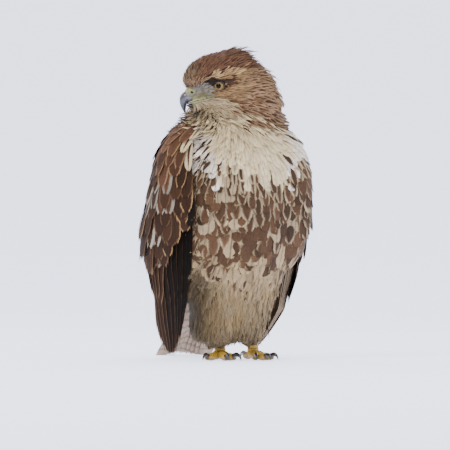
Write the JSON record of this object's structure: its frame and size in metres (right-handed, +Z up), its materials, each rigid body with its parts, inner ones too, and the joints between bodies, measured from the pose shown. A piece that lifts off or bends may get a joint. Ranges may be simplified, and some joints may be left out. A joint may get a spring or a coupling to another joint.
{
  "type": "red-tailed hawk",
  "caption": "Life-size young red-tailed hawk standing upright with folded wings, head turned to its right, feathered legs, yellow feet and tail laid back to the floor.",
  "frame": {"origin": "on the floor, under the middle of the whole bird's box", "axes": "+Z up; the breast faces -Y and the tail runs back towards +Y; the bird's right side is at -X, and its head looks towards -X"},
  "size_m": [0.2158, 0.3092, 0.3862],
  "materials": {
    "body_feathers": "soft matt feathers, cream with brown marks",
    "wing_feathers": "satin flight feathers and coverts, dark brown with paler edges",
    "tail_feathers": "satin tail feathers, brown with narrow dark bars",
    "bill_horn": "satin grey-blue horn with a black tip",
    "cere": "smooth waxy yellow-green skin",
    "eye": "wet clear eye with a pale yellow iris",
    "foot_scales": "scaled yellow skin, slightly waxy",
    "claw_horn": "polished black horn"
  },
  "bodies": {
    "root": {"head": "body_feathers", "neck": "body_feathers", "torso": "body_feathers", "leg_right": "body_feathers", "leg_left": "body_feathers", "wing_right": "wing_feathers", "wing_left": "wing_feathers", "tail": "tail_feathers", "bill_upper": "bill_horn", "bill_lower": "bill_horn", "cere": "cere", "eye_left": "eye", "eye_right": "eye", "foot_right": "foot_scales", "foot_left": "foot_scales", "claw_right_inner": "claw_horn", "claw_right_middle": "claw_horn", "claw_right_outer": "claw_horn", "claw_right_hind": "claw_horn", "claw_left_inner": "claw_horn", "claw_left_middle": "claw_horn", "claw_left_outer": "claw_horn", "claw_left_hind": "claw_horn"}
  },
  "joints": []
}
